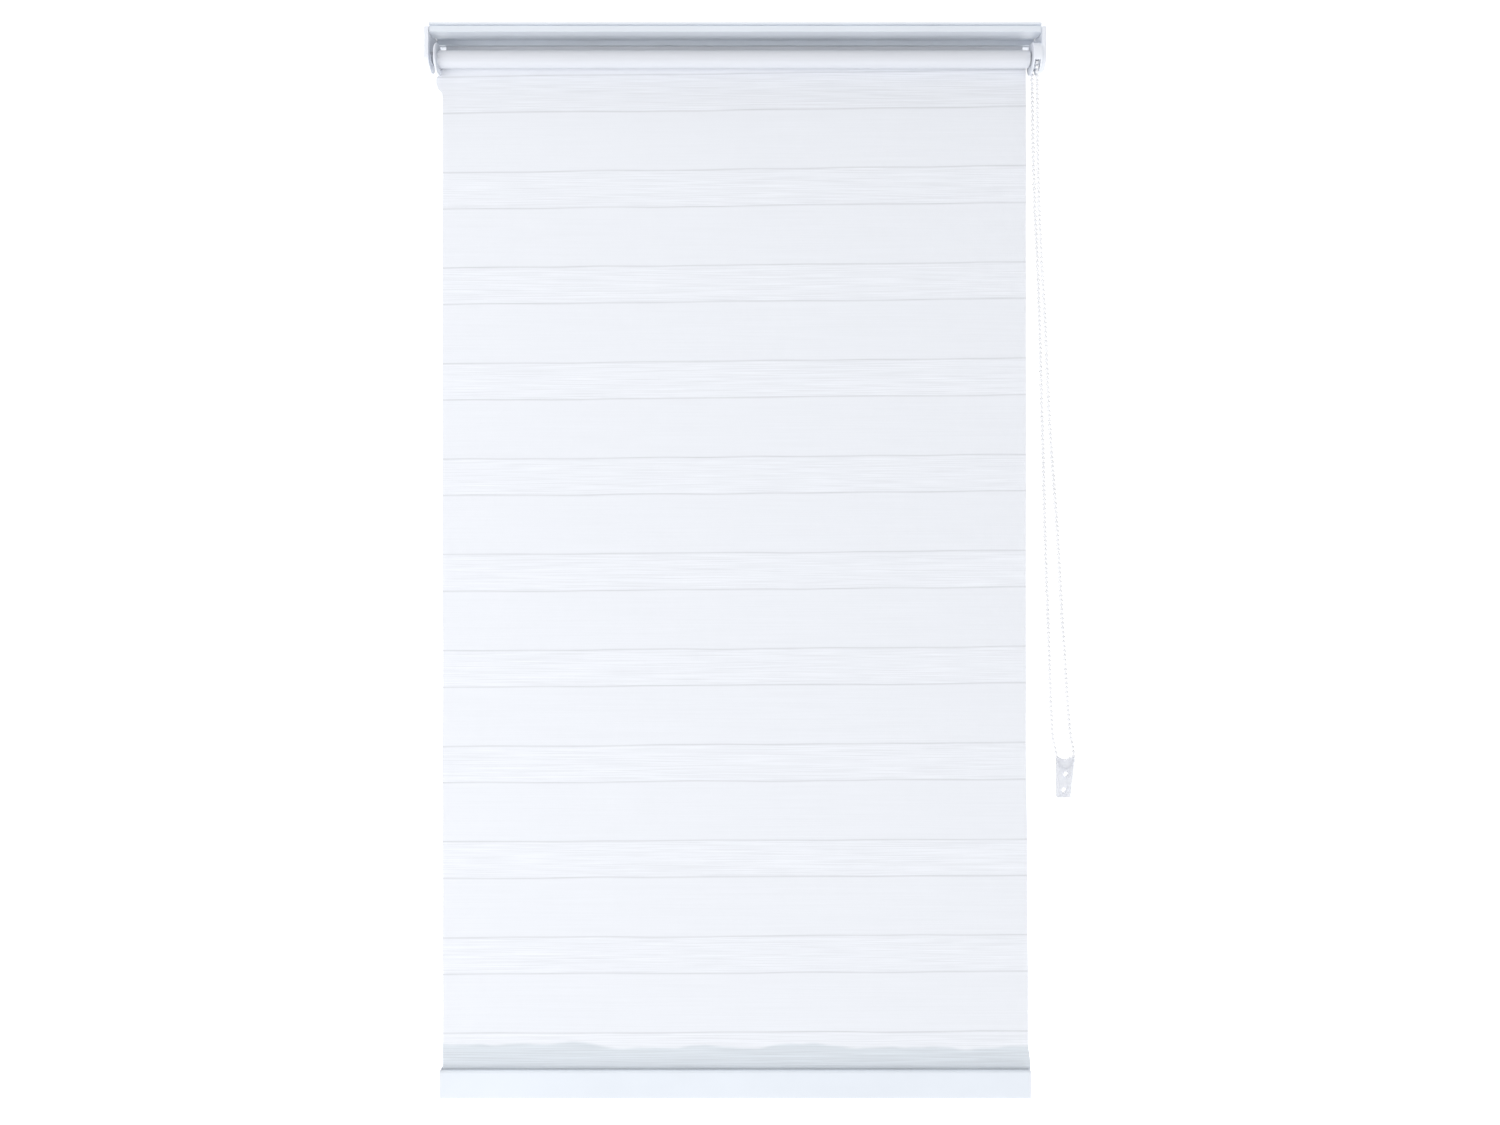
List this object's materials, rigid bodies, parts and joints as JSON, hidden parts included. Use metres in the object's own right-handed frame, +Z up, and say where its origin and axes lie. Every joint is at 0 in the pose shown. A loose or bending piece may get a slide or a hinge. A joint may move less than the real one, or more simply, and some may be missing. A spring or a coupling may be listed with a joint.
{
  "type": "roller blind",
  "caption": "White day-and-night roller blind: two striped fabric layers between an open head rail and a flat bottom rail, raised by a bead chain loop.",
  "frame": {"origin": "midway between the ceiling screw holes of the two mounting clips, on the plane they bear on", "axes": "+X to the right as seen from the room, +Y towards the wall or window, +Z up"},
  "size_m": [0.8421, 0.0579, 1.396],
  "materials": {
    "white_aluminium": "white powder coat",
    "bare_aluminium": "mill finish",
    "spring_steel": "zinc plated",
    "steel": "zinc plated",
    "white_plastic": "moulded, satin",
    "grey_plastic": "moulded, matt",
    "fabric": "woven polyester, opaque bands and sheer bands",
    "chain_plastic": "moulded on a cord",
    "clear_plastic": "translucent, as moulded"
  },
  "bodies": {
    "frame": {"head_rail": "white_aluminium", "clip_left": "spring_steel", "clip_right": "spring_steel", "rail_strip": "white_plastic", "bracket_left": "white_plastic", "bracket_right": "white_plastic", "bracket_screws": "steel", "clutch_base": "white_plastic", "clutch_guard": "white_plastic", "clutch_screw": "steel", "clutch_washer": "steel", "fabric_front": "fabric", "fabric_rear": "fabric", "bead_chain": "chain_plastic", "tensioner_body": "clear_plastic", "tensioner_cover": "clear_plastic"},
    "roll": {"roller_tube": "bare_aluminium", "tube_strip": "white_plastic", "fabric_roll": "fabric", "drive_hub": "grey_plastic", "chain_wheel": "white_plastic", "wrap_springs": "steel", "idle_plug": "white_plastic", "spring_seat": "grey_plastic", "pin_spring": "steel"},
    "pin": {"idle_pin": "grey_plastic"},
    "bottom": {"bottom_rail": "white_aluminium", "end_cap_left": "white_plastic", "end_cap_right": "white_plastic", "fabric_loop": "fabric"},
    "bar": {"weight_bar": "bare_aluminium"}
  },
  "joints": [
    {"name": "rail_lift", "type": "slide", "parent": "frame", "child": "bottom", "axis": [0, 0, 1], "range_m": [0, 1.28], "deforming": ["fabric_front", "fabric_rear"]},
    {"name": "roll_spin", "type": "hinge", "parent": "frame", "child": "roll", "pos_m": [0, -0.01145, -0.0425], "axis": [1, 0, 0], "range_deg": [0, 9721]},
    {"name": "bar_spin", "type": "hinge", "parent": "bottom", "child": "bar", "pos_m": [0, 0.00645, -1.376], "axis": [1, 0, 0], "range_deg": [-11371, 0]},
    {"name": "pin_press", "type": "slide", "parent": "frame", "child": "pin", "axis": [1, 0, 0], "range_m": [0, 0.008], "stiffness_N_per_m": 600, "springref_m": -0.006, "deforming": ["pin_spring"]}
  ],
  "couplings": [
    {"joint": "roll_spin", "follows": "rail_lift", "rad_per_m": 132.54},
    {"joint": "bar_spin", "follows": "rail_lift", "rad_per_m": -155.04}
  ]
}
